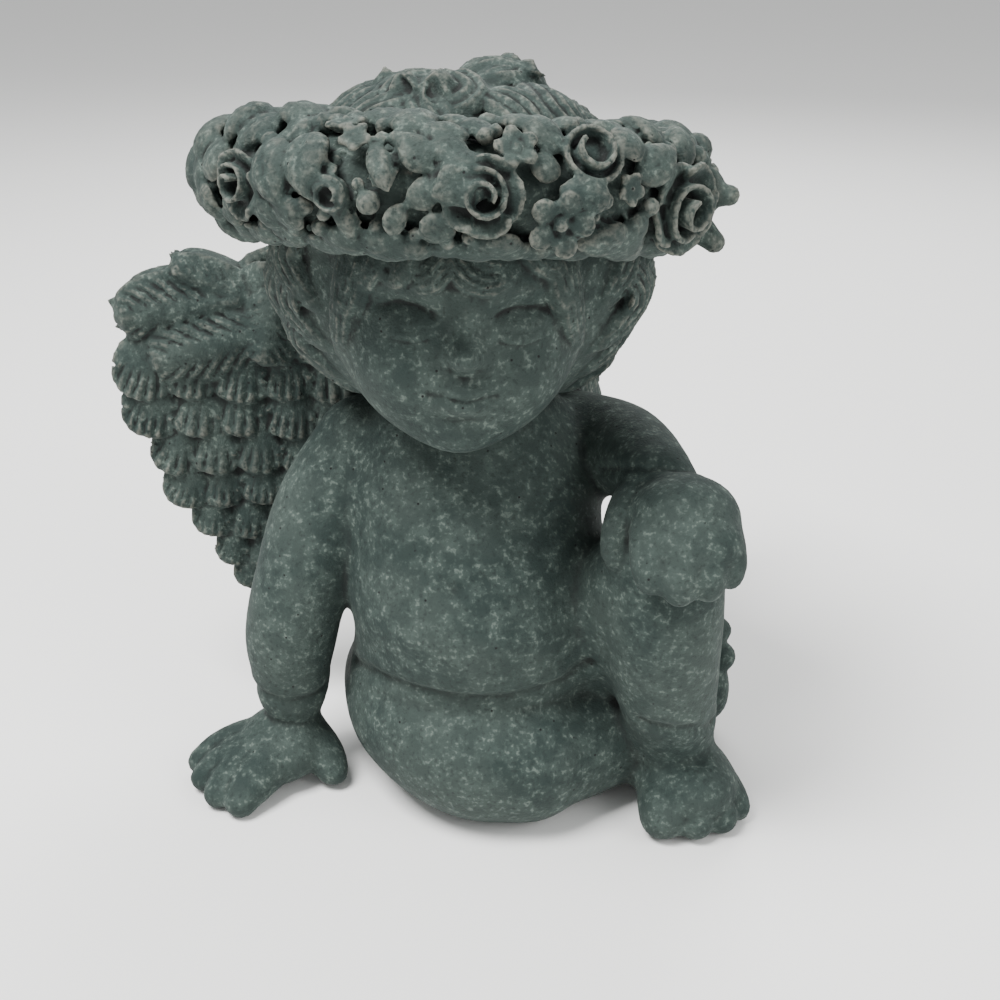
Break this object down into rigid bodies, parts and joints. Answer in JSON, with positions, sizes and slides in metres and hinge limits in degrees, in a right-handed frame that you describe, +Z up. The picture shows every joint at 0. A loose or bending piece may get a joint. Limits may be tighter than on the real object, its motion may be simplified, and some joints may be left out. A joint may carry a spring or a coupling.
{
  "type": "garden putto statue",
  "caption": "Seated winged putto wearing a wide wreath of roses, one hand on the ground and the other on its raised knee; a cast garden ornament that stands on its flat underside.",
  "frame": {"origin": "on the ground, under the middle of the statue's bounding box", "axes": "+Z up along the seated figure; -Y is the way the face looks; +X is the figure's own left"},
  "size_m": [0.24, 0.2205, 0.255],
  "materials": {
    "stone": "matt blue-green painted cast stone, rubbed lighter on raised edges, chipped to tan"
  },
  "bodies": {
    "root": {"putto_statue": "stone"}
  },
  "joints": []
}
